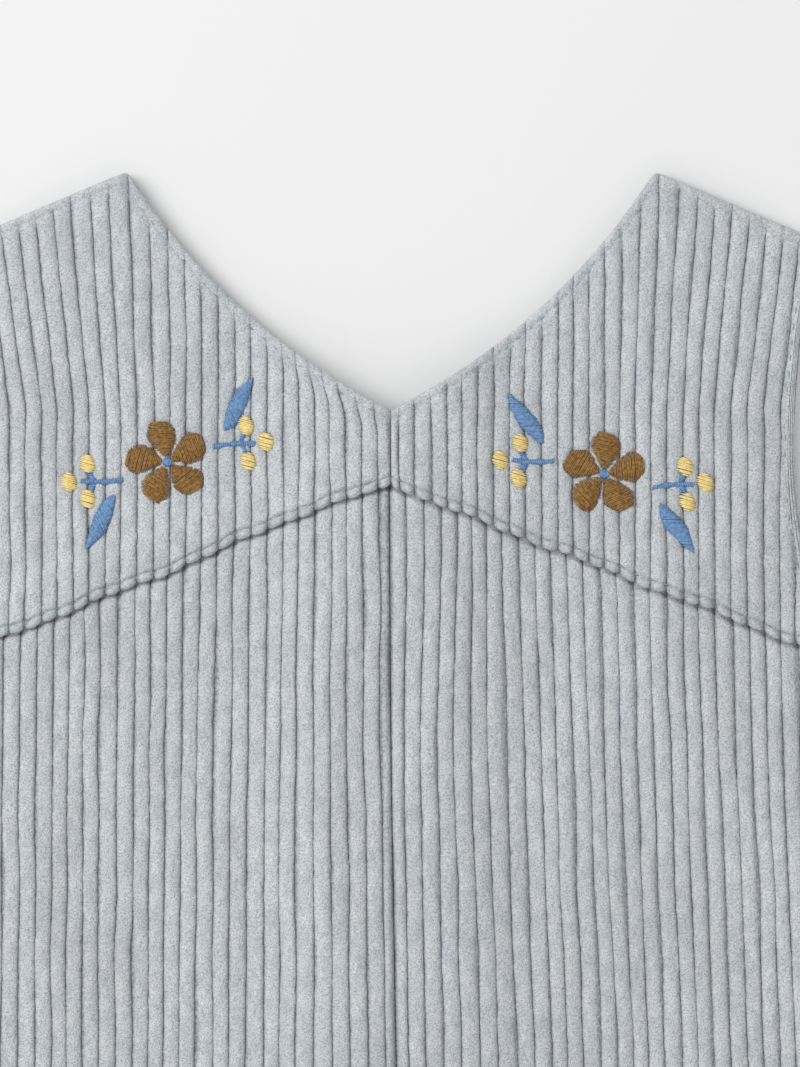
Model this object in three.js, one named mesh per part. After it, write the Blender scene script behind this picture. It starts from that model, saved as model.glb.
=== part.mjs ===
// Sleeveless child's overalls in wide-wale corduroy, laid flat on their back with the front upwards.
// Millimetres. +X is the wearer's left, +Y is towards the neck and +Z is up, out of the front.
// The origin is on the surface that the garment lies on, under the middle of its length and width.
// "Drop" is the distance down the garment from the high point of the shoulder.
import * as THREE from "three";

// Driving dimensions
const LENGTH = 640; // shoulder to hem
const CLOTH = 1.8; // corduroy, wales and ground together
const SEAM_GAP = 0.3; // between two pieces that are sewn together or lie on each other

const NECK_HALF_WIDTH = 66;
const NECK_DEPTH_FRONT = 60;
const NECK_DEPTH_BACK = 63;
const NECK_ARC_RADIUS = 165; // each side of the V bows out a little
const SHOULDER_HALF_WIDTH = 107;
const SHOULDER_SLOPE = Math.tan(THREE.MathUtils.degToRad(23));

const YOKE_POINT_DROP = 79.3; // where the chevron seam meets the centre front
const YOKE_SLOPE = 0.39; // fall of the chevron seam for each millimetre outwards
const YOKE_LAP = 8; // how far the body runs up under the yoke
const YOKE_STEP = 8; // over this height the yoke comes down off the body's edge
const YOKE_FOLD = 0.6; // extra thickness where the yoke's edge is turned under

const CROTCH_DROP = 400;
const INNER_LEG_AT_HEM = 18; // half of the gap between the legs
const HEM_DEPTH = 20;
const HEM_FOLD = 0.8; // extra thickness where the hem is turned up
const HEM_STEP = 4; // over this length the cloth thickens into the hem

const FRONT_LOFT = 1.6; // air between front and back, lost towards the side seams

const OPENING_END_DROP = 196; // foot of the lapped opening at the centre back
const LAP_HALF_WIDTH = 8;
const LAP_STEP = 8; // over this length a lapped edge comes back to the centre
const LAP_EASE = 22; // over this length the double back comes down to one layer
const STRIP_HALF_WIDTH = 14; // half of the level part of the raised strip
const STRIP_FLANK = 12; // over this width to each side the strip comes down
const BUTTON_RADIUS = 5.75;
const BUTTON_THICKNESS = 2;
const BUTTON_HOLE_RADIUS = 0.8;
const BUTTON_HOLE_OFFSET = 1.5; // from the button's centre, along X and along Y
const BUTTONS = [
  { name: "back_button_upper", drop: 76 },
  { name: "back_button_middle", drop: 122 },
  { name: "back_button_lower", drop: 168 },
];

// Half the garment's width: armhole, side seam and outer leg, from the shoulder tip down.
const SIDE = [
  { drop: 17, half: 107 },
  { drop: 40, half: 103 },
  { drop: 72, half: 101 },
  { drop: 96, half: 103.5 },
  { drop: 120, half: 111 },
  { drop: 138, half: 122 },
  { drop: 150, half: 132 },
  { drop: 200, half: 139 },
  { drop: 270, half: 146 },
  { drop: 340, half: 150 },
  { drop: 400, half: 150 },
  { drop: 640, half: 147 },
];

// The long soft folds of the front, each a raised or a sunken band that runs down the garment.
const FOLDS = [
  { x: -15, height: 0.8, width: 11, from: 120, to: 390 },
  { x: 10, height: 0.6, width: 8, from: 110, to: 360 },
  { x: 25, height: -0.7, width: 9, from: 100, to: 330 },
  { x: -62, height: 0.6, width: 18, from: 180, to: 460 },
  { x: 70, height: 0.7, width: 20, from: 210, to: 500 },
];
const FOLD_FADE = 70; // length over which a fold rises out of the cloth and sinks back into it

// Steps of the grids that the panels are drawn on. Above LEVEL_DROP the front's rows slant with the chevron.
const NECK_COLUMNS = 9;
const SHOULDER_COLUMNS = 4;
const LEVEL_DROP = 300;
const CHEST_ROWS = 11;
const HIP_ROWS = 4;
const LEG_ROWS = 8;
const YOKE_ROWS = 5;
const BACK_NECK_ROWS = 6;
const BACK_WAIST_ROWS = 6;

const { clamp, lerp, smoothstep } = THREE.MathUtils;

// A smooth curve through a table's rows: each stretch is a cubic that keeps the table's own slopes.
function along(table, column, drop) {
  const last = table.length - 1;
  if (drop <= table[0].drop) return table[0][column];
  if (drop >= table[last].drop) return table[last][column];
  const i = table.findIndex((row) => row.drop > drop) - 1;
  const slopeAt = (k) => {
    const before = table[Math.max(k - 1, 0)];
    const after = table[Math.min(k + 1, last)];
    return (after[column] - before[column]) / (after.drop - before.drop);
  };
  const [a, b] = [table[i], table[i + 1]];
  const span = b.drop - a.drop;
  const t = (drop - a.drop) / span;
  const ease = t * t * (3 - 2 * t);
  return (
    lerp(a[column], b[column], ease) +
    span * t * (1 - t) * ((1 - t) * slopeAt(i) - t * slopeAt(i + 1))
  );
}

const halfWidth = (drop) => along(SIDE, "half", drop);

// Drop of the neckline at x, on a circle through the point of the V and the high point of the shoulder.
function neckDrop(x, depth) {
  const chord = Math.hypot(NECK_HALF_WIDTH, depth);
  const toCentre = Math.sqrt(NECK_ARC_RADIUS ** 2 - (chord / 2) ** 2);
  const centreX = NECK_HALF_WIDTH / 2 - (toCentre * depth) / chord;
  const centreDrop = depth / 2 - (toCentre * NECK_HALF_WIDTH) / chord;
  return centreDrop + Math.sqrt(NECK_ARC_RADIUS ** 2 - (x - centreX) ** 2);
}

// Drop of a panel's top edge: the neckline, then the shoulder.
function topDrop(x, neckDepth) {
  if (x <= NECK_HALF_WIDTH) return neckDrop(x, neckDepth);
  return (x - NECK_HALF_WIDTH) * SHOULDER_SLOPE;
}

const yokeSeamDrop = (x) => YOKE_POINT_DROP + YOKE_SLOPE * x;

// Half the gap between the two legs: nothing above the crotch but the seam.
function innerLeg(drop) {
  const below = clamp((drop - CROTCH_DROP) / (LENGTH - CROTCH_DROP), 0, 1);
  return lerp(SEAM_GAP / 2, INNER_LEG_AT_HEM, below);
}

// 1 on the strip of the lapped opening, falling to 0 over a flank beside it and an ease below it.
function onOpening(x, drop, flank, ease) {
  const foot = OPENING_END_DROP + LAP_STEP;
  const across = 1 - smoothstep(Math.abs(x), STRIP_HALF_WIDTH, STRIP_HALF_WIDTH + flank);
  return across * (1 - smoothstep(drop, foot, foot + ease));
}

// The buttons lie under the opening's strip and lift it off the surface.
function buttonLift(x, drop) {
  return (BUTTON_THICKNESS + SEAM_GAP) * onOpening(x, drop, STRIP_FLANK, LAP_EASE);
}

// Height of the front's underside where no piece but the back lies under it.
function frontUnderside(x, drop) {
  const reach = Math.abs(x) / halfWidth(drop);
  const loft = FRONT_LOFT * (1 - reach ** 4);
  const strip = BUTTON_THICKNESS + CLOTH + 2 * SEAM_GAP;
  const opening = strip * onOpening(x, drop, 2 * STRIP_FLANK, 2 * LAP_EASE);
  let folds = 0;
  for (const fold of FOLDS) {
    const across = Math.exp(-(((x - fold.x) / fold.width) ** 2));
    const start = smoothstep(drop, fold.from, fold.from + FOLD_FADE);
    const end = 1 - smoothstep(drop, fold.to - FOLD_FADE, fold.to);
    folds += fold.height * across * start * end;
  }
  return clothThickness(drop) + SEAM_GAP + loft + opening + folds;
}

function clothThickness(drop) {
  return CLOTH + HEM_FOLD * smoothstep(drop, LENGTH - HEM_DEPTH - HEM_STEP, LENGTH - HEM_DEPTH);
}

function evenly(from, to, steps) {
  return Array.from({ length: steps }, (_, i) => lerp(from, to, (i + 1) / steps));
}

// Shares of a panel's width at which its columns stand, with one on the high point of the shoulder.
function columnShares(centreEdge) {
  const stands = [
    centreEdge,
    ...evenly(centreEdge, NECK_HALF_WIDTH, NECK_COLUMNS),
    ...evenly(NECK_HALF_WIDTH, SHOULDER_HALF_WIDTH, SHOULDER_COLUMNS),
  ];
  return stands.map((x) => (x - centreEdge) / (SHOULDER_HALF_WIDTH - centreEdge));
}

// The drop at which a column crosses a slanted edge. It is found in a few turns, because the column's x
// follows the width of the garment, which changes with the drop.
function crossing(columnX, edgeDrop) {
  const turns = 6;
  let drop = 0;
  for (let turn = 0; turn < turns; turn++) drop = edgeDrop(Math.abs(columnX(drop)));
  return drop;
}

// Rows of both legs below the crotch, with the last two bounding the hem.
const LEG = [
  ...evenly(CROTCH_DROP, LENGTH - HEM_DEPTH - HEM_STEP, LEG_ROWS),
  LENGTH - HEM_DEPTH,
  LENGTH,
];

// A closed sheet of cloth over a grid: place(share, row) gives a corner's x, drop, underside and thickness.
function sheet(name, side, shares, rowCount, place, material) {
  const positions = [];
  const index = [];
  const across = shares.length;
  const layer = across * rowCount;
  for (const upper of [1, 0]) {
    for (let row = 0; row < rowCount; row++) {
      for (const share of shares) {
        const corner = place(share, row);
        const z = corner.low + upper * corner.thickness;
        positions.push(side * corner.x, LENGTH / 2 - corner.drop, z);
      }
    }
  }
  // A face seen from above with its corners in this order points up on the wearer's left side.
  const face = (a, b, c, d) => {
    if (side > 0) index.push(a, b, c, a, c, d);
    else index.push(a, c, b, a, d, c);
  };
  for (let row = 0; row + 1 < rowCount; row++) {
    for (let i = 0; i + 1 < across; i++) {
      const a = row * across + i;
      face(a, a + across, a + across + 1, a + 1);
      face(layer + a, layer + a + 1, layer + a + across + 1, layer + a + across);
    }
    const start = row * across;
    const end = start + across - 1;
    face(start, layer + start, layer + start + across, start + across);
    face(end, end + across, layer + end + across, layer + end);
  }
  for (let i = 0; i + 1 < across; i++) {
    const last = (rowCount - 1) * across + i;
    face(i, i + 1, layer + i + 1, layer + i);
    face(last, layer + last, layer + last + 1, last + 1);
  }
  const geometry = new THREE.BufferGeometry();
  geometry.setAttribute("position", new THREE.Float32BufferAttribute(positions, 3));
  geometry.setIndex(index);
  geometry.computeVertexNormals();
  const mesh = new THREE.Mesh(geometry, material);
  mesh.name = name;
  return mesh;
}

// Front body and leg: the upper rows slant with the chevron seam, and the top row lies under the yoke.
function frontPanel(name, side, material) {
  const rows = [
    YOKE_POINT_DROP - YOKE_LAP,
    YOKE_POINT_DROP,
    ...evenly(YOKE_POINT_DROP, LEVEL_DROP, CHEST_ROWS),
    ...evenly(LEVEL_DROP, CROTCH_DROP, HIP_ROWS),
    ...LEG,
  ];
  const place = (share, row) => {
    const columnX = (drop) => lerp(innerLeg(drop), halfWidth(drop), share);
    const slant = 1 - smoothstep(rows[row], YOKE_POINT_DROP, LEVEL_DROP);
    const drop = rows[row] + (crossing(columnX, yokeSeamDrop) - YOKE_POINT_DROP) * slant;
    const x = columnX(drop);
    return { x, drop, low: frontUnderside(side * x, drop), thickness: clothThickness(drop) };
  };
  return sheet(name, side, columnShares(0), rows.length, place, material);
}

// Front yoke half: it lies on the body's top edge along the chevron and comes down to the back above it.
function yokePanel(name, side, material) {
  const onLap = YOKE_LAP + 1;
  const offLap = YOKE_LAP + YOKE_STEP;
  const place = (share, row) => {
    const columnX = (drop) => lerp(SEAM_GAP / 2, halfWidth(drop), share);
    const seam = crossing(columnX, yokeSeamDrop);
    const top = crossing(columnX, (x) => topDrop(x, NECK_DEPTH_FRONT));
    const rises = [...evenly(seam - top, offLap, YOKE_ROWS), onLap, 0];
    const rise = row === 0 ? seam - top : rises[row - 1];
    const drop = seam - rise;
    const x = columnX(drop);
    const doubled = 1 - smoothstep(rise, onLap, offLap);
    const low = frontUnderside(side * x, drop) + (CLOTH + SEAM_GAP) * doubled;
    return { x, drop, low, thickness: CLOTH + YOKE_FOLD * doubled };
  };
  return sheet(name, side, columnShares(0), YOKE_ROWS + 3, place, material);
}

// Back body and leg. At the opening one half laps over the other: the outer half lies next to the surface,
// and the inner half goes on a little further down before it too comes back to the centre.
function backPanel(name, side, isOuter, material) {
  const lapEnd = OPENING_END_DROP - (isOuter ? 2 * LAP_STEP : 0);
  const upperEnd = OPENING_END_DROP - 2 * LAP_STEP;
  const easeEnd = OPENING_END_DROP + LAP_STEP + LAP_EASE;
  const rows = [
    NECK_DEPTH_BACK,
    ...evenly(NECK_DEPTH_BACK, upperEnd, BACK_NECK_ROWS),
    ...evenly(upperEnd, OPENING_END_DROP + LAP_STEP, 3),
    ...evenly(OPENING_END_DROP + LAP_STEP, easeEnd, 2),
    ...evenly(easeEnd, CROTCH_DROP, BACK_WAIST_ROWS),
    ...LEG,
  ];
  const place = (share, row) => {
    const lapped = 1 - clamp((rows[row] - lapEnd) / LAP_STEP, 0, 1);
    const edge = lerp(innerLeg(rows[row]), -LAP_HALF_WIDTH, lapped);
    const columnX = (drop) => lerp(edge, halfWidth(drop), share);
    const top = crossing(columnX, (x) => topDrop(x, NECK_DEPTH_BACK));
    const level = clamp((rows[row] - NECK_DEPTH_BACK) / (upperEnd - NECK_DEPTH_BACK), 0, 1);
    const drop = rows[row] + (top - NECK_DEPTH_BACK) * (1 - level);
    const x = columnX(drop);
    const overOuter = isOuter ? 0 : onOpening(Math.max(x, 0), drop, STRIP_FLANK, LAP_EASE);
    const low = buttonLift(x, drop) + (CLOTH + SEAM_GAP) * overOuter;
    return { x, drop, low, thickness: clothThickness(drop) };
  };
  return sheet(name, side, columnShares(-LAP_HALF_WIDTH), rows.length, place, material);
}

// A flat button with four holes for its thread.
function button(name, drop, material) {
  const face = new THREE.Shape().absarc(0, 0, BUTTON_RADIUS, 0, 2 * Math.PI, false);
  for (const across of [-1, 1]) {
    for (const up of [-1, 1]) {
      const hole = new THREE.Path();
      const [x, y] = [across * BUTTON_HOLE_OFFSET, up * BUTTON_HOLE_OFFSET];
      hole.absarc(x, y, BUTTON_HOLE_RADIUS, 0, 2 * Math.PI, true);
      face.holes.push(hole);
    }
  }
  const geometry = new THREE.ExtrudeGeometry(face, {
    depth: BUTTON_THICKNESS,
    bevelEnabled: false,
    curveSegments: 10,
  });
  const mesh = new THREE.Mesh(geometry, material);
  mesh.name = name;
  mesh.position.y = LENGTH / 2 - drop;
  return mesh;
}

const corduroy = new THREE.MeshStandardMaterial({
  color: 0xb0b6b9,
  roughness: 0.95,
  metalness: 0,
});
const buttonPlastic = new THREE.MeshStandardMaterial({
  color: 0xb9bcb8,
  roughness: 0.4,
  metalness: 0,
});

const LEFT = 1;
const RIGHT = -1;
const group = new THREE.Group();
group.add(
  frontPanel("front_left", LEFT, corduroy),
  frontPanel("front_right", RIGHT, corduroy),
  yokePanel("front_yoke_left", LEFT, corduroy),
  yokePanel("front_yoke_right", RIGHT, corduroy),
  backPanel("back_left", LEFT, true, corduroy),
  backPanel("back_right", RIGHT, false, corduroy),
);
for (const { name, drop } of BUTTONS) group.add(button(name, drop, buttonPlastic));

export default group;
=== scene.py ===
"""Looks of a child's sleeveless corduroy overalls, laid flat on their back. Lengths are in millimetres in the
part's own frame until a mesh is made: x to the wearer's left, "drop" down from the shoulder's high point."""

import math

import bpy
import numpy as np
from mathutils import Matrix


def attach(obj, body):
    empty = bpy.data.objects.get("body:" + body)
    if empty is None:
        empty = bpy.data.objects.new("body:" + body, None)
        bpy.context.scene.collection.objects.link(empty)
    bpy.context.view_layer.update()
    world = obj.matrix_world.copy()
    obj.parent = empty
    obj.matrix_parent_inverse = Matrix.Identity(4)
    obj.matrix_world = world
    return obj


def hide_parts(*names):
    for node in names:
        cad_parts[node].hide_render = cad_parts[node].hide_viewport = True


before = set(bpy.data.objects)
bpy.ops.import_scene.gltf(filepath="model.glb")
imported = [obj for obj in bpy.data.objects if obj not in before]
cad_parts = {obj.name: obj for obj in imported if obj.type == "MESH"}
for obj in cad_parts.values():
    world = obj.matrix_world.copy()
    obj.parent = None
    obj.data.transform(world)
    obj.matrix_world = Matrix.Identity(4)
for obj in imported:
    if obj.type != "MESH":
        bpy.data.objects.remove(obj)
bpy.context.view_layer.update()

MM = 0.001
LENGTH = 640.0
CLOTH = 1.8
SEAM_GAP = 0.3

NECK_HALF_WIDTH = 66.0
NECK_DEPTH_FRONT = 60.0
NECK_DEPTH_BACK = 63.0
NECK_ARC_RADIUS = 165.0
SHOULDER_SLOPE = math.tan(math.radians(23))
YOKE_POINT_DROP = 79.3
YOKE_SLOPE = 0.39
YOKE_LAP = 8.0
YOKE_STEP = 8.0
CROTCH_DROP = 400.0
INNER_LEG_AT_HEM = 18.0
HEM_DEPTH = 20.0
HEM_FOLD = 0.8
HEM_STEP = 4.0
FRONT_LOFT = 1.6

OPENING_END_DROP = 196.0
LAP_HALF_WIDTH = 8.0
LAP_STEP = 8.0
LAP_EASE = 22.0
STRIP_HALF_WIDTH = 14.0
STRIP_FLANK = 12.0
BUTTON_THICKNESS = 2.0
BUTTON_HOLE_OFFSET = 1.5
BUTTON_DROPS = (76.0, 122.0, 168.0)

SIDE = {  # drop: half width
    17: 107, 40: 103, 72: 101, 96: 103.5, 120: 111, 138: 122, 150: 132,
    200: 139, 270: 146, 340: 150, 400: 150, 640: 147,
}
FOLDS = (  # x, height, width, from drop, to drop
    (-15, 0.8, 11, 120, 390),
    (10, 0.6, 8, 110, 360),
    (25, -0.7, 9, 100, 330),
    (-62, 0.6, 18, 180, 460),
    (70, 0.7, 20, 210, 500),
)
FOLD_FADE = 70.0

# The corduroy: one wale from groove to groove, and where its columns of vertices stand. GROUND is the height
# of the grooves above the panel's underside, and RAGGED_EDGE how far a wale shifts from row to row.
WALE_PITCH_BODY = 4.13
WALE_PITCH_YOKE = 3.98
WALE_DEPTH = 1.15
GROUND = 0.72
RAGGED_EDGE = 0.07
CENTRE_GAP = 0.04
# Lightness of the painted shade on a sheet's plain back
PLAIN_PAINTED_LIGHTNESS = 0.6
WALE_PHASES = (0.0, 0.045, 0.13, 0.28, 0.5, 0.72, 0.87, 0.955)

LEFT, RIGHT = 1, -1
SIDE_NAMES = {LEFT: "left", RIGHT: "right"}


# ---------------------------------------------------------------- outline and heights

def smoothstep(value, low, high):
    t = np.clip((value - low) / (high - low), 0, 1)
    return t * t * (3 - 2 * t)


def half_width(drop):
    """Half the garment's width, on a cubic that passes through SIDE with the table's own slopes."""
    drops = np.array(list(SIDE), float)
    halves = np.array(list(SIDE.values()), float)
    slopes = np.gradient(halves, drops)
    slopes[1:-1] = (halves[2:] - halves[:-2]) / (drops[2:] - drops[:-2])
    drop = np.clip(drop, drops[0], drops[-1])
    i = np.clip(np.searchsorted(drops, drop, side="right") - 1, 0, len(drops) - 2)
    span = drops[i + 1] - drops[i]
    t = (drop - drops[i]) / span
    ease = t * t * (3 - 2 * t)
    value = halves[i] * (1 - ease) + halves[i + 1] * ease
    return value + span * t * (1 - t) * ((1 - t) * slopes[i] - t * slopes[i + 1])


def neck_drop(x, depth):
    chord = math.hypot(NECK_HALF_WIDTH, depth)
    to_centre = math.sqrt(NECK_ARC_RADIUS**2 - (chord / 2) ** 2)
    centre_x = NECK_HALF_WIDTH / 2 - to_centre * depth / chord
    centre_drop = depth / 2 - to_centre * NECK_HALF_WIDTH / chord
    return centre_drop + np.sqrt(NECK_ARC_RADIUS**2 - (x - centre_x) ** 2)


def top_drop(x, depth):
    """The top edge: neckline and shoulder meet in a corner rounded like a turned edge."""
    x = np.abs(x)
    neck = neck_drop(np.minimum(x, NECK_HALF_WIDTH + 10), depth)
    shoulder = (x - NECK_HALF_WIDTH) * SHOULDER_SLOPE
    round_off = 1.6
    return (neck + shoulder + np.sqrt((neck - shoulder) ** 2 + round_off**2)) / 2


def top_slope(x, depth):
    return np.abs(top_drop(x + 0.5, depth) - top_drop(x - 0.5, depth))


def yoke_seam_drop(x):
    """The chevron, a little hollow on the wearer's right where the cloth has been stretched in sewing."""
    hollow = np.where(x < 0, 1.4 * np.exp(-(((x + 25) / 20) ** 2)), 0.0)
    wobble = 0.35 * np.sin(x * 0.21 + 0.6) + 0.25 * np.sin(x * 0.53)
    return YOKE_POINT_DROP + YOKE_SLOPE * np.abs(x) - hollow + wobble * smoothstep(np.abs(x), 2, 12)


def seam_x(drop):
    """The centre front seam doesn't run quite straight."""
    return np.interp(drop, (60, 80, 150, 224, 300, 400), (0.1, -0.5, 0.1, 1.3, 1.1, 0.0))


def inner_leg(drop):
    below = np.clip((drop - CROTCH_DROP) / (LENGTH - CROTCH_DROP), 0, 1)
    return SEAM_GAP / 2 + (INNER_LEG_AT_HEM - SEAM_GAP / 2) * below


def cloth_thickness(drop):
    return CLOTH + HEM_FOLD * smoothstep(drop, LENGTH - HEM_DEPTH - HEM_STEP, LENGTH - HEM_DEPTH)


def on_opening(x, drop, flank_shade, ease):
    foot = OPENING_END_DROP + LAP_STEP
    across = 1 - smoothstep(np.abs(x), STRIP_HALF_WIDTH, STRIP_HALF_WIDTH + flank_shade)
    return across * (1 - smoothstep(drop, foot, foot + ease))


def button_lift(x, drop):
    return (BUTTON_THICKNESS + SEAM_GAP) * on_opening(x, drop, STRIP_FLANK, LAP_EASE)


def front_underside(x, drop):
    reach = np.minimum(np.abs(x) / half_width(drop), 1)
    height = cloth_thickness(drop) + SEAM_GAP + FRONT_LOFT * (1 - reach**4)
    strip = BUTTON_THICKNESS + CLOTH + 2 * SEAM_GAP
    height = height + strip * on_opening(x, drop, 2 * STRIP_FLANK, 2 * LAP_EASE)
    for fold_x, fold_height, width, start, end in FOLDS:
        lengthways = smoothstep(drop, start, start + FOLD_FADE)
        lengthways = lengthways * (1 - smoothstep(drop, end - FOLD_FADE, end))
        height = height + fold_height * np.exp(-(((x - fold_x) / width) ** 2)) * lengthways
    return height


def yoke_double(x, drop):
    """1 on the strip of the yoke that lies over the body's top edge, and 0 above it."""
    return 1 - smoothstep(yoke_seam_drop(x) - drop, YOKE_LAP + 1, YOKE_LAP + YOKE_STEP)


def yoke_low(x, drop):
    return front_underside(x, drop) + (CLOTH + SEAM_GAP) * yoke_double(x, drop)


def yoke_crest(x, drop):
    return yoke_low(x, drop) + GROUND + WALE_DEPTH


# ---------------------------------------------------------------- corduroy relief

def wale_columns(first, pitch, reach, seed):
    """Columns from the centre edge outwards: their x, and their phase across the wale they are on."""
    random = np.random.default_rng(seed)
    grooves = [0.0, first]
    while grooves[-1] < reach:
        grooves.append(grooves[-1] + pitch * random.uniform(0.94, 1.06))
    x, phase, wale = [], [], []
    for number, (a, b) in enumerate(zip(grooves, grooves[1:])):
        for share in WALE_PHASES:
            x.append(a + share * (b - a))
            phase.append(share)
            wale.append(number)
    return np.array(x), np.array(phase), np.array(wale)


def wale_shape(phase):
    """Height across a wale, from 0 in the groove to 1 on the broad crest."""
    return (1 - np.abs(2 * phase - 1) ** 2.7) ** 0.55


def ragged_edge(drop, wale, seed):
    """Small sideways shifts from row to row, the same for a wale's whole width."""
    random = np.random.default_rng(seed)
    shifts = random.normal(0, RAGGED_EDGE, (drop.shape[0], int(wale.max()) + 1))
    return shifts[:, wale]


def wander(wale, drop, step, size, seed):
    """A slow sideways wander down each wale, between random knots a step apart."""
    random = np.random.default_rng(seed)
    knots = random.normal(0, size, (wale.max() + 1, int(LENGTH / step) + 3))
    at = np.clip(drop / step, 0, knots.shape[1] - 2.001)
    i = at.astype(int)
    t = at - i
    t = t * t * (3 - 2 * t)
    row = np.broadcast_to(wale, drop.shape)
    return knots[row, i] * (1 - t) + knots[row, i + 1] * t


def round_over(distance, radius):
    """How far the surface lies below its level at a distance from a rounded edge."""
    inside = np.clip(1 - distance / radius, 0, 1)
    return radius * (1 - np.sqrt(1 - inside**2))


def press_in(x, edge, margin):
    """Columns beyond the side edge are gathered into its last margin, so that the grid ends on the edge."""
    start = edge - margin
    beyond = np.maximum(x - start, 0)
    return np.where(x > start, start + margin * beyond / np.maximum(beyond[:, -1:], 1e-6), x)


# ---------------------------------------------------------------- meshes

def coarse_steps(count, step):
    return sorted(set(range(0, count, step)) | {count - 1})


def sheet_object(name, side, fine, plain, painted_lightness, material, step=10, row_step=6):
    """A closed sheet: a fine grid of (rows, columns, 3) points on its face, and a plain back of large cells
    that share its rim. fine and plain hold the same x and drop. The fifth argument is painted shade: a
    lightness per vertex that the material reads as an attribute, set to one level on the plain back."""
    rows, columns = painted_lightness.shape
    index = np.arange(rows * columns).reshape(rows, columns)
    kept_rows, kept_columns = coarse_steps(rows, row_step), coarse_steps(columns, step)
    back = np.full((rows, columns), -1)
    back[0, :] = back[-1, :] = back[:, 0] = back[:, -1] = 0
    back[np.ix_(kept_rows, kept_columns)] = 0
    used = np.argwhere(back == 0)
    back[used[:, 0], used[:, 1]] = rows * columns + np.arange(len(used))
    vertices = np.concatenate([fine.reshape(-1, 3), plain[used[:, 0], used[:, 1]]])

    cells = np.stack([index[:-1, :-1], index[1:, :-1], index[1:, 1:], index[:-1, 1:]], -1)
    quads = cells.reshape(-1, 4).tolist()
    for j in range(columns - 1):
        quads.append([index[0, j], index[0, j + 1], back[0, j + 1], back[0, j]])
        quads.append([index[-1, j + 1], index[-1, j], back[-1, j], back[-1, j + 1]])
    for i in range(rows - 1):
        quads.append([index[i + 1, 0], index[i, 0], back[i, 0], back[i + 1, 0]])
        quads.append([index[i, -1], index[i + 1, -1], back[i + 1, -1], back[i, -1]])
    for top, bottom in zip(kept_rows, kept_rows[1:]):
        for start, end in zip(kept_columns, kept_columns[1:]):
            quads.append(back_ring(back, top, bottom, start, end))
    upwards = fine[:, :, 2].mean() > plain[:, :, 2].mean()
    if (side > 0) != upwards:
        quads = [face[::-1] for face in quads]
    shade = np.concatenate([painted_lightness.ravel(), np.full(len(used), PLAIN_PAINTED_LIGHTNESS)])
    return mesh_object(name, vertices, quads, material, {"painted_lightness": shade})


def back_ring(back, top, bottom, start, end):
    """One large cell of the plain back, with every rim vertex that lies on it."""
    rows, columns = back.shape
    across = range(start, end + 1) if top == 0 else (start, end)
    ring = [back[top, j] for j in across]
    down = range(top + 1, bottom) if end == columns - 1 else ()
    ring += [back[i, end] for i in down]
    across = range(end, start - 1, -1) if bottom == rows - 1 else (end, start)
    ring += [back[bottom, j] for j in across]
    up = range(bottom - 1, top, -1) if start == 0 else ()
    return ring + [back[i, start] for i in up]


def mesh_object(name, vertices, faces, material, attributes=None):
    mesh = bpy.data.meshes.new(name)
    mesh.from_pydata((np.asarray(vertices) * MM).tolist(), [], faces)
    mesh.polygons.foreach_set("use_smooth", [True] * len(mesh.polygons))
    for key, values in (attributes or {}).items():
        mesh.attributes.new(key, "FLOAT", "POINT").data.foreach_set("value", values.astype(np.float32))
    mesh.materials.append(material)
    mesh.update()
    piece = bpy.data.objects.new(name, mesh)
    bpy.context.scene.collection.objects.link(piece)
    return piece


def points(side, x, drop, z):
    return np.stack([side * x, LENGTH / 2 - drop, z], -1)


def plan_area(side_x, drop):
    """Area of a grid seen from above, in square metres."""
    dx = np.diff(side_x, axis=1)
    width = (dx[:-1] + dx[1:]) / 2
    height = np.diff(drop, axis=0)
    height = (height[:, :-1] + height[:, 1:]) / 2
    return float((width * height).sum()) * MM * MM


def declare_sheet(piece, node, x, drop):
    wide = float(np.ptp(x)) * MM
    long = float(np.ptp(drop)) * MM
    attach(piece, "root")
    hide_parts(node)
    plan_area(x, drop)


# ---------------------------------------------------------------- the panels

# Rows of vertices beside an edge, as distances from it, closest where the surface turns or is stitched
NECK_ROWS = (0, 0.2, 0.5, 0.9, 1.4, 1.9, 2.3, 2.6, 3.0, 3.6, 4.6)
CHEVRON_ROWS = (0, 0.15, 0.4, 0.8, 1.3, 1.8, 2.2, 2.5, 2.8, 3.2, 3.8, 4.8, 6.2, 8)
UNDER_YOKE_ROWS = (-YOKE_LAP, -4.0, -1.5, -0.5, 0, 0.3, 0.7, 1.2, 1.9, 3.0)
FRONT_HEM_ROWS = (0, 0.2, 0.6, 1.2, 2.4, 6, 12, 17, 17.6, 18, 18.4, 19.2, 22)
BACK_TOP_ROWS = (0, 0.3, 0.8, 1.6, 2.2, 2.6, 3.0, 4.0)
BACK_HEM_ROWS = (0, 0.3, 1.0, 2.4, 10, 17, 17.7, 18.3, 19, 22)
YOKE_SPACING = 1.5
FRONT_SPACING = 2.2
BACK_SPACING = 4.0
LOWER_SPACING = 5.0
FRONT_LEVEL_AT = 232.0
BACK_LEVEL_AT = 230.0

# Columns: the first wale beside the centre edge is cut narrower, and the last ones reach past the side
YOKE_FIRST_WALE = {LEFT: 2.1, RIGHT: 3.1}
FRONT_FIRST_WALE = {LEFT: 3.1, RIGHT: 2.5}
YOKE_REACH, FRONT_REACH, BACK_REACH = 112, 156, 164
YOKE_MARGIN, BODY_MARGIN = 1.8, 2.0
COLUMN_STEP = 0.002

# Stitched creases: how far in from the edge
EDGE_STITCH = 2.3
CHEVRON_STITCH = 2.45
HEM_STITCH = 18.0


def stack_rows(top, bottom, from_top, from_bottom, spacing):
    """Rows of a panel between two edges: close together by each edge and evenly spaced in between."""
    head = [top + offset for offset in from_top]
    foot = [bottom - offset for offset in from_bottom]
    longest = float((foot[-1] - head[-1]).max())
    steps = max(int(longest / spacing), 2)
    middle = [head[-1] + (foot[-1] - head[-1]) * i / steps for i in range(1, steps)]
    return np.stack(head + middle + foot[::-1])


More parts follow.
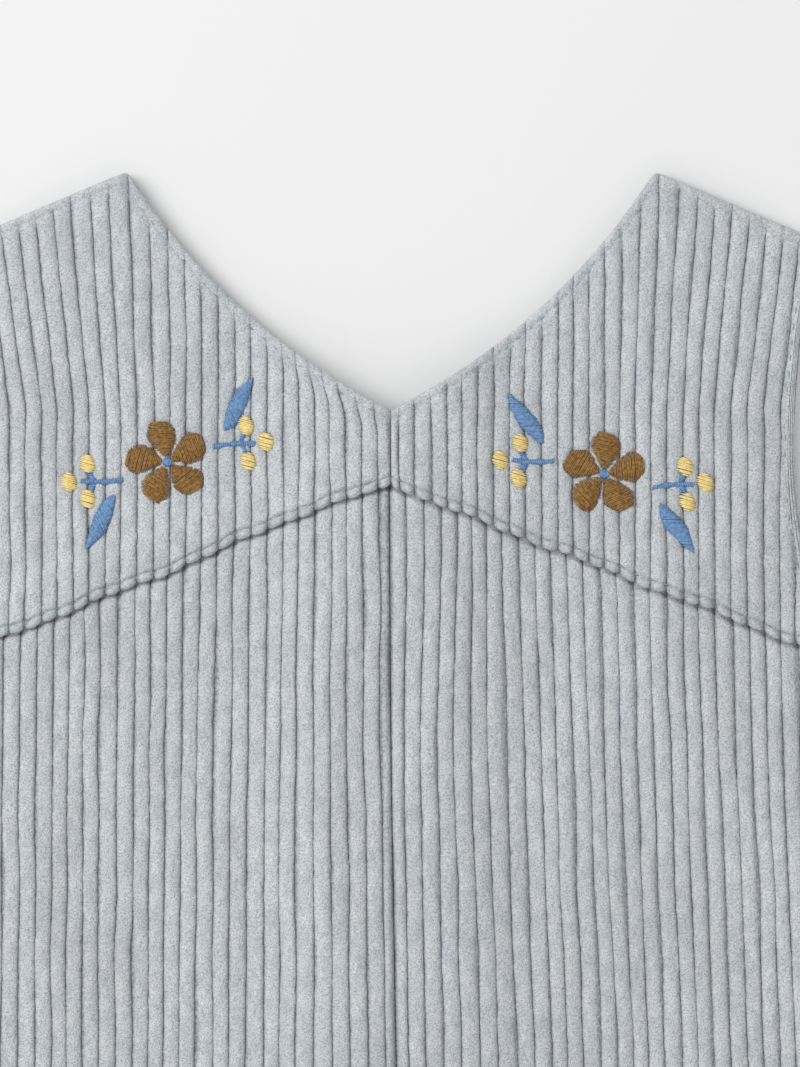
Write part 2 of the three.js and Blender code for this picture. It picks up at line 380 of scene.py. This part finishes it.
def body_rows(top, from_top, level_at, spacing, hem_rows):
    """Rows that follow the top edge, and turn level on the way down to level_at."""
    level = np.full_like(top, level_at)
    upper = stack_rows(top, level, from_top, (0.0,), spacing)
    lower = stack_rows(level, np.full_like(top, LENGTH), (4.5,), hem_rows, LOWER_SPACING)
    return np.concatenate([upper, lower])


def ordered(x, start):
    """Columns kept in order from the panel's centre edge outwards, however far they were shifted."""
    x = np.maximum(x, start + COLUMN_STEP * np.arange(x.shape[1]))
    x[:, 0] = start[:, 0]
    return np.maximum.accumulate(x, axis=1)


def near(distance, at, width):
    """1 at a distance from an edge, and fading to 0 on both sides of it."""
    return np.exp(-(((distance - at) / width) ** 2))


def pile_lumps(x, drop, wale):
    """The nap along a wale is brushed into slight lumps."""
    shift = (wale * 2.399) % 6.283
    return np.sin(drop * 1.15 + shift) * 0.5 + np.sin(drop * 2.6 + 2 * shift + x * 0.6) * 0.5


def yoke_edges(side, x):
    return yoke_seam_drop(side * x), top_drop(x, NECK_DEPTH_FRONT)


def lean_of_yoke(side, x, drop):
    """Towards the shoulder the wales lean outwards, and beside the point of the V on one side they curl."""
    lean = -0.11 * smoothstep(x, 45, 95) * np.minimum(drop - 60, 0)
    lean = lean * (1.0 if side == LEFT else 1.15)
    if side == RIGHT:
        below_neck = drop - neck_drop(np.minimum(x, NECK_HALF_WIDTH), NECK_DEPTH_FRONT)
        lean = lean + 2.2 * near(x, 12, 12) * (1 - smoothstep(below_neck, 0, 9))
    return lean


def yoke_grid(side):
    """Columns along the wales and rows along the edges of half a yoke."""
    columns, phase, wale = wale_columns(YOKE_FIRST_WALE[side], WALE_PITCH_YOKE, YOKE_REACH, 11 + side)
    x = columns[None, :]
    seam, top = yoke_edges(side, x)
    steep = np.hypot(1, top_slope(x, NECK_DEPTH_FRONT))
    from_top = [row * steep[0] for row in NECK_ROWS]
    drop = stack_rows(top[0], seam[0], from_top, CHEVRON_ROWS, YOKE_SPACING)
    share = (drop - top) / (seam - top)
    x = x + lean_of_yoke(side, x, drop) + wander(wale, drop, 14, 0.18, 31 + side)
    x = x + ragged_edge(drop, wale, 61 + side)
    x = ordered(x, np.full((len(drop), 1), CENTRE_GAP))
    x = press_in(x, half_width(drop), YOKE_MARGIN)
    seam, top = yoke_edges(side, x)
    return x, top + share * (seam - top), phase, wale


def worn_flat(x, drop, from_neck, from_side):
    """The share of a wale's height that is left where the turned edges have pressed it."""
    patchy = np.sin(x * 0.9 + drop * 0.31) + 0.8 * np.sin(x * 0.37 - drop * 0.7 + 1.1)
    by_neck = 1 - 0.85 * (1 - smoothstep(from_neck, 1.6, 5.5)) * smoothstep(patchy, -1.8, 0.4)
    return by_neck * (1 - 0.6 * (1 - smoothstep(from_side, 1.0, 3.6)))


def yoke_panel(side, material):
    """One half of the front yoke: turned and stitched along the neckline, and turned under in the chevron.
    Between the chevron's edge and its stitching each wale swells into a small cobble."""
    x, drop, phase, wale = yoke_grid(side)
    seam, top = yoke_edges(side, x)
    above = seam - drop
    from_neck = (drop - top) / np.hypot(1, top_slope(x, NECK_DEPTH_FRONT))
    from_side = half_width(drop) - x
    from_centre = x - CENTRE_GAP
    puff = smoothstep(above, 0, 0.8) * (1 - smoothstep(above, 2.0, 2.5))
    cobble = np.sin(np.pi * phase)[None, :] ** 0.75
    shape = wale_shape(phase)[None, :] * (1 - puff) + cobble * puff
    left = worn_flat(x, drop, from_neck, from_side)

    relief = WALE_DEPTH * (1 - (1 - shape) * left)
    relief += 0.4 * puff * shape
    relief -= 0.85 * near(above, CHEVRON_STITCH, 0.38) * (0.45 + 0.55 * shape)
    relief -= 0.3 * near(from_neck, EDGE_STITCH, 0.42) + 0.5 * near(from_side, EDGE_STITCH, 0.42)
    relief -= 0.25 * near(from_centre, 0, 0.45)
    relief -= 0.5 * embroidered(side * x, drop)
    relief += 0.13 * pile_lumps(x, drop, wale)
    low = yoke_low(side * x, drop)
    rounding = round_over(above, 1.1) + round_over(from_neck, 1.2) + round_over(from_side, 1.2)
    z = np.maximum(low + GROUND + relief - np.minimum(rounding, 1.5), low + 0.15)

    # Painted shade, darker into the grooves: less where the wales are pressed flat, and held to half along
    # the centre edge
    painted_lightness = np.clip(shape * left + (1 - left) * 0.75, 0, 1)
    painted_lightness = np.maximum(painted_lightness, 0.5 * near(from_centre, 0, 0.6))
    # Painted shade at the chevron's turned edge and in the crease of its stitching
    painted_lightness = painted_lightness * (1 - 0.3 * near(above, 0, 0.35))
    painted_lightness = painted_lightness * (1 - 0.35 * near(above, CHEVRON_STITCH, 0.3))
    scallop = 0.75 * (1 - cobble) * near(above, 0, 1.2)
    name = SIDE_NAMES[side]
    fine = points(side, x, drop - scallop, z)
    plain = points(side, x, drop - scallop, low)
    piece = sheet_object(f"yoke_cloth_{name}", side, fine, plain, painted_lightness, material)
    declare_sheet(piece, f"front_yoke_{name}", x, drop)


def front_grid(side):
    """The wales of the front fan out a little on the way down, and follow the inner leg below the crotch."""
    columns, phase, wale = wale_columns(FRONT_FIRST_WALE[side], WALE_PITCH_BODY, FRONT_REACH, 21 + side)
    x = columns[None, :]
    seam = yoke_seam_drop(side * x)[0]
    drop = body_rows(seam, UNDER_YOKE_ROWS, FRONT_LEVEL_AT, FRONT_SPACING, FRONT_HEM_ROWS)
    fan = np.tan(math.radians(1.25)) * (np.minimum(drop, 330) - 100)
    curl = near(x, 12, 12) * (1 - smoothstep(drop, 90, 150))
    x = x + fan * smoothstep(x, 2, 30) + (2.0 * curl if side == LEFT else 0)
    x = x + wander(wale, drop, 18, 0.22, 41 + side) + ragged_edge(drop, wale, 71 + side)
    start = np.where(drop < CROTCH_DROP, side * seam_x(drop) + CENTRE_GAP, inner_leg(drop))
    x = x + np.where(drop < CROTCH_DROP, side * seam_x(drop), 0.6 * inner_leg(drop))
    x = press_in(ordered(x, start), half_width(drop), BODY_MARGIN)
    return x, drop, start, phase, wale


def front_panel(side, material):
    """Front body and leg. Its top edge lies under the yoke, and beside the centre seam one side shows a strip
    of bare ground where the seam has taken the wale away."""
    x, drop, start, phase, wale = front_grid(side)
    below = drop - yoke_seam_drop(side * x)
    from_side = half_width(drop) - x
    from_centre = x - start
    from_hem = LENGTH - drop
    shape = wale_shape(phase)[None, :] * np.ones_like(x)
    bare_ground = np.zeros_like(x)
    if side == RIGHT:
        bare_ground = (wale == 0)[None, :] * (1 - smoothstep(drop, 120, 215))
        shape = shape * (1 - 0.55 * bare_ground)
    shape = 1 - (1 - shape) * smoothstep(from_side, 0.4, 2.4)

    round_top = np.sin(np.pi * phase)[None, :]
    arch = 0.6 * (1 - round_top) ** 2
    relief = WALE_DEPTH * shape
    relief += bare_ground * (0.3 * round_top - 0.1)
    relief -= 0.4 * (1 - smoothstep(below - arch, -0.2, 0.8))
    relief += 0.85 * smoothstep(below, 0.3, 1.2) * (1 - smoothstep(below, 2, 10))
    relief -= (0.4 + 0.8 * smoothstep(drop, 110, 220)) * near(from_centre, 0, 0.75)
    relief -= 0.7 * near(from_hem, HEM_STITCH, 0.4)
    relief += 0.13 * pile_lumps(x, drop, wale)
    low = front_underside(side * x, drop)
    level = low + GROUND + cloth_thickness(drop) - CLOTH
    rounding = round_over(from_side, 1.6) + round_over(from_hem, 1.4)
    rounding = rounding + round_over(from_centre, 0.8) * (drop > CROTCH_DROP)
    z = np.maximum(level + relief - np.minimum(rounding, 1.7), low + 0.12)

    # Painted shade, darker into the grooves and along the centre edge where it falls into the seam
    painted_lightness = np.clip(shape * (1 - 0.5 * near(from_centre, 0, 0.5)), 0, 1)
    # Painted shadow just below the yoke's edge
    painted_lightness = painted_lightness * (1 - 0.35 * near(below, 0.15, 0.45))
    name = SIDE_NAMES[side]
    fine = points(side, x, drop, z)
    plain = points(side, x, drop, low)
    piece = sheet_object(f"front_cloth_{name}", side, fine, plain, painted_lightness, material)
    declare_sheet(piece, f"front_{name}", x, drop)


def back_grid(side):
    """The columns of the back start on the lap, and below it on the centre seam and the inner leg."""
    columns, phase, wale = wale_columns(WALE_PITCH_BODY, WALE_PITCH_BODY, BACK_REACH, 51 + side)
    x = columns[None, :] - LAP_HALF_WIDTH
    top = top_drop(x, NECK_DEPTH_BACK)[0]
    drop = body_rows(top, BACK_TOP_ROWS, BACK_LEVEL_AT, BACK_SPACING, BACK_HEM_ROWS)
    lap_end = OPENING_END_DROP - (2 * LAP_STEP if side == LEFT else 0)
    lapped = 1 - np.clip((drop - lap_end) / LAP_STEP, 0, 1)
    start = inner_leg(drop) * (1 - lapped) - LAP_HALF_WIDTH * lapped
    x = x + 0.6 * inner_leg(drop) * (drop > CROTCH_DROP)
    x = press_in(ordered(x, start), half_width(drop), BODY_MARGIN)
    drop = np.maximum(drop, np.minimum(top_drop(x, NECK_DEPTH_BACK), drop + 3))
    return x, drop, start, phase, wale


def back_panel(side, material):
    """Back body and leg, with its wales downwards. The wearer's left half laps outside the right one."""
    x, drop, start, phase, wale = back_grid(side)
    from_side = half_width(drop) - x
    from_top = (drop - top_drop(x, NECK_DEPTH_BACK)) / np.hypot(1, top_slope(x, NECK_DEPTH_BACK))
    from_hem = LENGTH - drop
    flat_edges = smoothstep(from_side, 0.4, 2.4) * smoothstep(x - start, 0.2, 1.5)
    shape = 1 - (1 - wale_shape(phase)[None, :]) * flat_edges
    crease = 0.5 * near(from_top, EDGE_STITCH, 0.5) + 0.6 * near(from_hem, HEM_STITCH, 0.5)
    crease = crease + 0.5 * near(from_side, EDGE_STITCH, 0.45) * (drop < 150)
    rounding = round_over(from_side, 1.0) + round_over(from_top, 1.0) + round_over(from_hem, 1.0)
    depth = WALE_DEPTH * (1 - shape) + crease + np.minimum(rounding, 1.2)
    depth = depth + 0.06 * (1 + pile_lumps(x, drop, wale))

    over_outer = 0 if side == LEFT else on_opening(np.maximum(x, 0), drop, STRIP_FLANK, LAP_EASE)
    low = button_lift(x, drop) + (CLOTH + SEAM_GAP) * over_outer
    name = SIDE_NAMES[side]
    fine = points(side, x, drop, low + np.minimum(depth, 1.5))
    plain = points(side, x, drop, low + cloth_thickness(drop))
    # The wale shape doubles as painted shade, darker into the grooves
    piece = sheet_object(f"back_cloth_{name}", side, fine, plain, shape, material, 4, 1)
    declare_sheet(piece, f"back_{name}", x, drop)


# ---------------------------------------------------------------- thread

def stitch_mesh(name, starts, ends, arch, radius, material):
    """Short threads in one mesh: each dives into the cloth at both ends and arches between them."""
    sides, rings = 6, 7
    starts, ends = np.asarray(starts, float), np.asarray(ends, float)
    count = len(starts)
    t = np.linspace(0, 1, rings)
    lift = np.sin(np.pi * t) ** 0.6
    along = ends - starts
    centre = starts[:, None] + along[:, None] * t[None, :, None]
    arch = np.broadcast_to(arch, (count,))
    centre[:, :, 2] += arch[:, None] * lift[None, :]
    flat = along / np.maximum(np.linalg.norm(along, axis=1, keepdims=True), 1e-6)
    across = np.cross(flat, [0, 0, 1.0])
    taper = 0.45 + 0.55 * np.sin(np.pi * t) ** 0.4
    angle = np.arange(sides) * 2 * np.pi / sides
    ring = across[:, None, None] * np.cos(angle)[None, None, :, None]
    ring = ring + np.array([0, 0, 0.8]) * np.sin(angle)[None, None, :, None]
    vertices = centre[:, :, None] + radius * taper[None, :, None, None] * ring
    faces = []
    base = np.arange(rings * sides).reshape(rings, sides)
    for i in range(rings - 1):
        for j in range(sides):
            k = (j + 1) % sides
            faces.append([base[i, j], base[i, k], base[i + 1, k], base[i + 1, j]])
    caps = [base[0][::-1].tolist(), base[-1].tolist()]
    faces = [[int(v) for v in face] for face in faces] + caps
    every = [[v + n * rings * sides for v in face] for n in range(count) for face in faces]
    piece = mesh_object(name, vertices.reshape(-1, 3), every, material)
    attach(piece, "root")
    return piece


def on_yoke(x, drop, above):
    return np.stack([x, LENGTH / 2 - drop, yoke_crest(x, drop) + above], -1)


# ---------------------------------------------------------------- embroidery

PETAL_LENGTH = 8.8
PETAL_WIDTH = 8.0
FLOWERS = (  # x, drop, turn of the first petal in degrees
    (-56.0, 73.0, 12.0),
    (53.3, 76.0, -4.0),
)
SPRIGS = (  # where the stem begins, the way it points in degrees, and the leaf: where it begins and its way
    (-67.2, 77.5, 181.0, -69.1, 81.5, 241.0),
    (-44.6, 69.2, 4.0, -41.8, 65.0, 61.0),
    (40.8, 72.8, 178.0, 37.8, 68.3, 124.0),
    (65.4, 79.4, 4.0, 67.4, 83.4, 304.0),
)
STEM_LENGTH = 10.9
LEAF_LENGTH = 15.0
LEAF_WIDTH = 4.7
BERRIES = ((8.7, 4.6), (13.4, 0.3), (8.6, -4.2))  # along the stem, and to its left
BERRY_LENGTH = 4.4
BERRY_WIDTH = 4.3
THREAD_PITCH = 0.44
SATIN_RADIUS = 0.235
SATIN_SINK = 0.42
SATIN_RISE = 0.25
FLOWER_EYE_RADIUS = 1.3
FLOWER_EYE_THREADS = 6


def turned(u, v, degrees):
    """A motif's own coordinates turned: u along it and v to its left, with drop measured downwards."""
    a = math.radians(degrees)
    return u * math.cos(a) - v * math.sin(a), -(u * math.sin(a) + v * math.cos(a))


def blob_shapes():
    """Every stitched patch as its base, direction, length, width, kind."""
    shapes = []
    for x, drop, turn in FLOWERS:
        for petal in range(5):
            angle = 90 + turn + 72 * petal
            dx, dd = turned(1.5, 0, angle)
            shapes.append((x + dx, drop + dd, angle, PETAL_LENGTH, PETAL_WIDTH, "petal"))
    for x, drop, way, leaf_x, leaf_drop, leaf_way in SPRIGS:
        shapes.append((leaf_x, leaf_drop, leaf_way, LEAF_LENGTH, LEAF_WIDTH, "leaf"))
        for u, v in BERRIES:
            dx, dd = turned(u, v, way)
            bx, bd = x + dx, drop + dd
            lengthways = turned(-BERRY_LENGTH / 2, 0, 88)
            shapes.append((bx + lengthways[0], bd + lengthways[1], 88, BERRY_LENGTH, BERRY_WIDTH, "berry"))
    return shapes


def half_profile(kind, t):
    """Half width of a patch, as a share of its width, a share t along it."""
    if kind == "petal":
        swell = np.sin(np.pi * np.clip(0.08 + 0.80 * t, 0, 1)) ** 0.9 * (0.50 + 0.56 * t)
        return 0.5 * swell / 0.86
    if kind == "leaf":
        return 0.5 * np.sin(np.pi * t**0.85) ** 0.85
    return 0.5 * np.sqrt(np.clip(1 - (2 * t - 1) ** 2, 0, 1)) ** 0.8


def embroidered(x, drop):
    """1 under the embroidery, where its stitches flatten the wales."""
    pressed = np.zeros_like(drop)
    for base_x, base_drop, way, length, width, kind in blob_shapes():
        a = math.radians(way)
        dx, dy = x - base_x, -(drop - base_drop)
        u = (dx * math.cos(a) + dy * math.sin(a)) / length
        v = np.abs(-dx * math.sin(a) + dy * math.cos(a)) / width
        inside = half_profile(kind, np.clip(u, 0.001, 0.999)) + 0.05 - v
        pressed = np.maximum(pressed, smoothstep(inside, 0, 0.08) * (u > 0) * (u < 1))
    return pressed


def patch_threads(shape, random):
    """The two ends of each satin stitch laid across one patch."""
    base_x, base_drop, way, length, width, kind = shape
    count = max(int(length / THREAD_PITCH), 6)
    starts, ends, arches = [], [], []
    slant = {"petal": 0.16, "leaf": 0.75, "berry": 0.25}[kind]
    for i in range(count):
        t = (i + 0.5) / count
        half = width * float(half_profile(kind, np.array(t))) + random.uniform(-0.1, 0.16)
        u = t * length
        tilt = slant * half
        sides = []
        for v, du in ((half, tilt), (-half, -tilt)):
            dx, dd = turned(u + du + random.uniform(-0.12, 0.12), v, way)
            sides.append((base_x + dx, base_drop + dd))
        starts.append(sides[0])
        ends.append(sides[1])
        arches.append(min(0.34 + 0.07 * half, 0.62))
    return starts, ends, arches


def stem_threads(x, drop, way, random):
    """A stem of short stitches across its line, with a spur to each of its two side berries."""
    starts, ends = [], []
    lines = [(0, 0, STEM_LENGTH, 0), (6.8, 0.3, 8.2, 2.5), (7.2, -0.3, 8.3, -2.4)]
    for u0, v0, u1, v1 in lines:
        length = math.hypot(u1 - u0, v1 - v0)
        cos, sin = (u1 - u0) / length, (v1 - v0) / length
        for i in range(int(length / 0.46)):
            along = (i + 0.5) * 0.46
            curve = 0.35 * math.sin(along / length * math.pi)
            half = 0.78 + random.uniform(-0.12, 0.12)
            for end, store in ((half, starts), (-half, ends)):
                u = u0 + cos * (along + 0.35 * end) - sin * end
                v = v0 + sin * (along + 0.35 * end) + cos * end + curve
                dx, dd = turned(u, v, way)
                store.append((x + dx, drop + dd))
    return starts, ends


def embroider(materials):
    """Gathers every stitch by colour, as starts, ends and arches, and makes one piece of each colour."""
    random = np.random.default_rng(5)
    groups = {"ochre": [[], [], []], "blue": [[], [], []], "yellow": [[], [], []]}
    colour_of = {"petal": "ochre", "leaf": "blue", "berry": "yellow"}
    for shape in blob_shapes():
        for store, values in zip(groups[colour_of[shape[5]]], patch_threads(shape, random)):
            store.extend(values)
    for x, drop, way, *_ in SPRIGS:
        starts, ends = stem_threads(x, drop, way, random)
        for store, values in zip(groups["blue"], (starts, ends, [0.42] * len(starts))):
            store.extend(values)
    for x, drop, _ in FLOWERS:
        for i in range(FLOWER_EYE_THREADS):
            v = (i - (FLOWER_EYE_THREADS - 1) / 2) * 0.36
            half = math.sqrt(max(FLOWER_EYE_RADIUS**2 - v * v, 0.2))
            groups["blue"][0].append((x + v, drop - half))
            groups["blue"][1].append((x + v, drop + half))
            groups["blue"][2].append(0.75)
    for colour, (starts, ends, arches) in groups.items():
        starts, ends = np.array(starts), np.array(ends)
        stitch_mesh(
            f"embroidery_{colour}",
            on_yoke(starts[:, 0], starts[:, 1], -SATIN_SINK),
            on_yoke(ends[:, 0], ends[:, 1], -SATIN_SINK),
            np.array(arches) + SATIN_RISE,
            SATIN_RADIUS,
            materials[colour],
        )


# ---------------------------------------------------------------- topstitching

STITCH = 1.7
STITCH_GAP = 2.3


def stitch_run(xs, drops, height):
    """Splits a line over the cloth into stitches: height(x, drop) gives the thread's level at its ends."""
    length = np.concatenate([[0], np.cumsum(np.hypot(np.diff(xs), np.diff(drops)))])
    begin = np.arange(0.4, length[-1] - STITCH, STITCH + STITCH_GAP)
    starts = np.interp(begin, length, xs), np.interp(begin, length, drops)
    ends = np.interp(begin + STITCH, length, xs), np.interp(begin + STITCH, length, drops)
    return [np.stack([x, LENGTH / 2 - drop, height(x, drop)], -1) for x, drop in (starts, ends)]


def sunk_in_chevron(x, drop):
    return yoke_crest(x, drop) - 0.78


def sunk_in_edge(x, drop):
    return yoke_crest(x, drop) - 0.5


def sunk_in_hem(x, drop):
    return front_underside(x, drop) + GROUND + WALE_DEPTH + HEM_FOLD - 0.6


def stitch_lines(side):
    """Every stitched line on one side, as x, drop and the function that gives the thread's level."""
    chevron = np.linspace(0.8, 101.5, 300)
    yield side * chevron, yoke_seam_drop(side * chevron) - CHEVRON_STITCH, sunk_in_chevron
    neck = np.linspace(0.8, NECK_HALF_WIDTH - 1.5, 200)
    inset = EDGE_STITCH * np.hypot(1, top_slope(neck, NECK_DEPTH_FRONT))
    yield side * neck, top_drop(neck, NECK_DEPTH_FRONT) + inset, sunk_in_edge
    armhole = np.linspace(22, 112, 200)
    yield side * (half_width(armhole) - EDGE_STITCH), armhole, sunk_in_edge
    hem = np.linspace(INNER_LEG_AT_HEM + 2, 144, 200)
    yield side * hem, np.full(200, LENGTH - HEM_STITCH), sunk_in_hem


def topstitch(material):
    runs = [stitch_run(*line) for side in (LEFT, RIGHT) for line in stitch_lines(side)]
    starts, ends = (np.concatenate(points_of_all) for points_of_all in zip(*runs))
    stitch_mesh("topstitching", starts, ends, 0.2, 0.13, material)


def button_threads(material):
    """Two threads each way, crossed between a button's four holes."""
    starts, ends = [], []
    reach, level = BUTTON_HOLE_OFFSET, 0.35
    for drop in BUTTON_DROPS:
        y = LENGTH / 2 - drop
        for sign in (1, -1):
            for shift in (-0.2, 0.2):
                starts.append((-reach + shift, y - sign * reach - shift, level))
                ends.append((reach + shift, y + sign * reach - shift, level))
    stitch_mesh("button_thread", starts, ends, -0.1, 0.2, material)


# ---------------------------------------------------------------- materials

# Noise scales, in features to the metre
PILE_GRAIN = 2600
WALE_RAGGEDNESS = 1500
NAP_LUMPS = 900
NAP_PATCHES = 320
BROAD_PATCHES = 55


def new_material(name, roughness, sheen=0.0):
    material = bpy.data.materials.new(name)
    material.use_nodes = True
    tree = material.node_tree
    shader = tree.nodes["Principled BSDF"]
    shader.inputs["Roughness"].default_value = roughness
    shader.inputs["Sheen Weight"].default_value = sheen
    shader.inputs["Sheen Roughness"].default_value = 0.5
    shader.inputs["Specular IOR Level"].default_value = 0.25
    return material, tree, shader


def linear(red, green, blue):
    """A colour given as it looks on screen, from 0 to 255, as linear light."""
    return tuple(((c / 255 + 0.055) / 1.055) ** 2.4 for c in (red, green, blue)) + (1.0,)


def grey(level):
    return (level, level, level, 1.0)


def noise(tree, scale, detail=3.0, stretch=(1, 1, 1)):
    place = tree.nodes.new("ShaderNodeTexCoord")
    mapping = tree.nodes.new("ShaderNodeMapping")
    mapping.inputs["Scale"].default_value = stretch
    texture = tree.nodes.new("ShaderNodeTexNoise")
    texture.inputs["Scale"].default_value = scale
    texture.inputs["Detail"].default_value = detail
    tree.links.new(place.outputs["Object"], mapping.inputs["Vector"])
    tree.links.new(mapping.outputs["Vector"], texture.inputs["Vector"])
    return texture.outputs["Fac"]


def ramp(tree, value, stops):
    node = tree.nodes.new("ShaderNodeValToRGB")
    elements = node.color_ramp.elements
    elements[0].position, elements[0].color = stops[0]
    elements[1].position, elements[1].color = stops[-1]
    for position, colour in stops[1:-1]:
        elements.new(position).color = colour
    tree.links.new(value, node.inputs["Fac"])
    return node.outputs["Color"]


def multiply(tree, first, second):
    node = tree.nodes.new("ShaderNodeMix")
    node.data_type = "RGBA"
    node.blend_type = "MULTIPLY"
    node.inputs["Factor"].default_value = 1.0
    tree.links.new(first, node.inputs[6])
    tree.links.new(second, node.inputs[7])
    return node.outputs[2]


def bump(tree, shader, value, strength, distance):
    node = tree.nodes.new("ShaderNodeBump")
    node.inputs["Strength"].default_value = strength
    node.inputs["Distance"].default_value = distance
    tree.links.new(value, node.inputs["Height"])
    previous = shader.inputs["Normal"].links
    if previous:
        tree.links.new(previous[0].from_socket, node.inputs["Normal"])
    tree.links.new(node.outputs["Normal"], shader.inputs["Normal"])


def shifted(tree, value, noise_value):
    """A value made uneven by a noise that has its middle at 0.5."""
    added = tree.nodes.new("ShaderNodeMath")
    added.operation = "MULTIPLY_ADD"
    added.inputs[1].default_value = 1.0
    centred = tree.nodes.new("ShaderNodeMath")
    centred.operation = "SUBTRACT"
    centred.inputs[1].default_value = 0.5
    tree.links.new(noise_value, added.inputs[0])
    tree.links.new(value, added.inputs[2])
    tree.links.new(added.outputs[0], centred.inputs[0])
    return centred.outputs[0]


def corduroy_material():
    """Painted shade: the flanks and grooves between the wales are painted darker than the pale crests, by a
    per-vertex value the mesh carries, broken up by the nap.
    """
    material, tree, shader = new_material("corduroy", 0.92, 0.12)
    painted_lightness = tree.nodes.new("ShaderNodeAttribute")
    painted_lightness.attribute_name = "painted_lightness"
    # The groove and flank colours are painted shade between the wales; the pile colour is the cloth's own
    groove_shade, flank_shade, pile = linear(134, 138, 143), linear(186, 190, 194), linear(203, 207, 210)
    uneven = shifted(tree, painted_lightness.outputs["Fac"], noise(tree, WALE_RAGGEDNESS, 2.0, (1, 0.7, 1)))
    base = ramp(tree, uneven, [(0.0, groove_shade), (0.45, flank_shade), (0.8, pile), (1.0, pile)])
    grain = ramp(tree, noise(tree, PILE_GRAIN, 2.0), [(0.3, grey(0.66)), (0.5, grey(0.98)), (0.7, grey(1.2))])
    bluish = (0.88, 0.89, 0.91, 1)
    patches = ramp(tree, noise(tree, NAP_PATCHES, 3.0, (1.3, 0.6, 1)), [(0.35, bluish), (0.6, grey(1.03))])
    broad_noise = noise(tree, BROAD_PATCHES, 2.0, (1.6, 0.5, 1))
    broad = ramp(tree, broad_noise, [(0.35, grey(0.93)), (0.62, grey(1.03))])
    colour = multiply(tree, multiply(tree, multiply(tree, base, grain), patches), broad)
    tree.links.new(colour, shader.inputs["Base Color"])
    bump(tree, shader, noise(tree, PILE_GRAIN, 2.0), 0.75, 0.0005)
    bump(tree, shader, noise(tree, NAP_LUMPS, 2.0), 0.6, 0.0006)
    return material


def thread_material(name, colour, dark):
    material, tree, shader = new_material(name, 0.5, 0.1)
    shade = ramp(tree, noise(tree, 1400, 2.0), [(0.3, dark), (0.7, colour)])
    tree.links.new(shade, shader.inputs["Base Color"])
    bump(tree, shader, noise(tree, 5000, 1.0), 0.25, 0.0001)
    return material


def button_material():
    material, tree, shader = new_material("button_resin", 0.3)
    swirl = ramp(tree, noise(tree, 220, 4.0), [(0.3, linear(170, 176, 176)), (0.7, linear(196, 200, 198))])
    tree.links.new(swirl, shader.inputs["Base Color"])
    bump(tree, shader, noise(tree, 400, 2.0), 0.08, 0.0003)
    return material


def floor_material():
    material, _, shader = new_material("pale_floor", 0.95)
    shader.inputs["Base Color"].default_value = linear(238, 238, 238)
    shader.inputs["Specular IOR Level"].default_value = 0.0
    return material


# ---------------------------------------------------------------- light, floor and camera

VIEW_CENTRE = (2.25, 229.1)
VIEW_HEIGHT = 266.75
CAMERA_HEIGHT = 1600.0
CLOTH_LEVEL = 7.0
SENSOR_WIDTH = 36

# In metres and watts
FLOOR_REACH = 3.0
FLOOR_LEVEL = -1e-4
WORLD_LIGHT = 0.63
KEY_PLACE = (-1.3, 0.8, 1.6)
KEY_SIZE = 1.5
KEY_WATTS = 26
KEY_AIM = 0.2


def stage():
    mesh = bpy.data.meshes.new("floor")
    signs = ((-1, -1), (1, -1), (1, 1), (-1, 1))
    corners = [(x * FLOOR_REACH, y * FLOOR_REACH, FLOOR_LEVEL) for x, y in signs]
    mesh.from_pydata(corners, [], [(0, 1, 2, 3)])
    floor = bpy.data.objects.new("floor", mesh)
    mesh.materials.append(floor_material())
    bpy.context.scene.collection.objects.link(floor)


def area_light(name, place, size, watts):
    """A round soft light that faces a point KEY_AIM up the garment from its middle."""
    lamp = bpy.data.lights.new(name, "AREA")
    lamp.shape = "DISK"
    lamp.size = size
    lamp.energy = watts
    light = bpy.data.objects.new(name, lamp)
    light.location = place
    toward = -np.array([place[0], place[1] - KEY_AIM, place[2]])
    light.rotation_euler = (
        math.atan2(math.hypot(toward[0], toward[1]), -toward[2]),
        0,
        math.atan2(toward[1], toward[0]) - math.pi / 2,
    )
    bpy.context.scene.collection.objects.link(light)


def light_and_camera():
    scene = bpy.context.scene
    world = bpy.data.worlds.new("studio")
    scene.world = world
    world.use_nodes = True
    background = world.node_tree.nodes["Background"]
    background.inputs["Color"].default_value = (1, 1, 1, 1)
    background.inputs["Strength"].default_value = WORLD_LIGHT
    area_light("key", KEY_PLACE, KEY_SIZE, KEY_WATTS)
    camera_data = bpy.data.cameras.new("camera")
    camera_data.sensor_width = SENSOR_WIDTH
    distance = (CAMERA_HEIGHT - CLOTH_LEVEL) * MM
    camera_data.lens = SENSOR_WIDTH * distance / (VIEW_HEIGHT * MM)
    camera = bpy.data.objects.new("camera", camera_data)
    camera.location = (VIEW_CENTRE[0] * MM, VIEW_CENTRE[1] * MM, CAMERA_HEIGHT * MM)
    scene.collection.objects.link(camera)
    scene.camera = camera
    scene.view_settings.view_transform = "Standard"


# ---------------------------------------------------------------- assembly

light_and_camera()
stage()
corduroy = corduroy_material()
seam_thread = thread_material("seam_thread", linear(158, 180, 178), linear(126, 150, 148))
threads = {
    "ochre": thread_material("ochre_thread", linear(168, 126, 66), linear(112, 78, 34)),
    "blue": thread_material("blue_thread", linear(128, 166, 206), linear(88, 124, 170)),
    "yellow": thread_material("yellow_thread", linear(250, 228, 160), linear(228, 200, 124)),
}
for wearer_side in (LEFT, RIGHT):
    back_panel(wearer_side, corduroy)
    front_panel(wearer_side, corduroy)
    yoke_panel(wearer_side, corduroy)
embroider(threads)
topstitch(seam_thread)
button_threads(seam_thread)
resin = button_material()
for name in ("back_button_upper", "back_button_middle", "back_button_lower"):
    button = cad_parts[name]
    button.data.materials.clear()
    button.data.materials.append(resin)
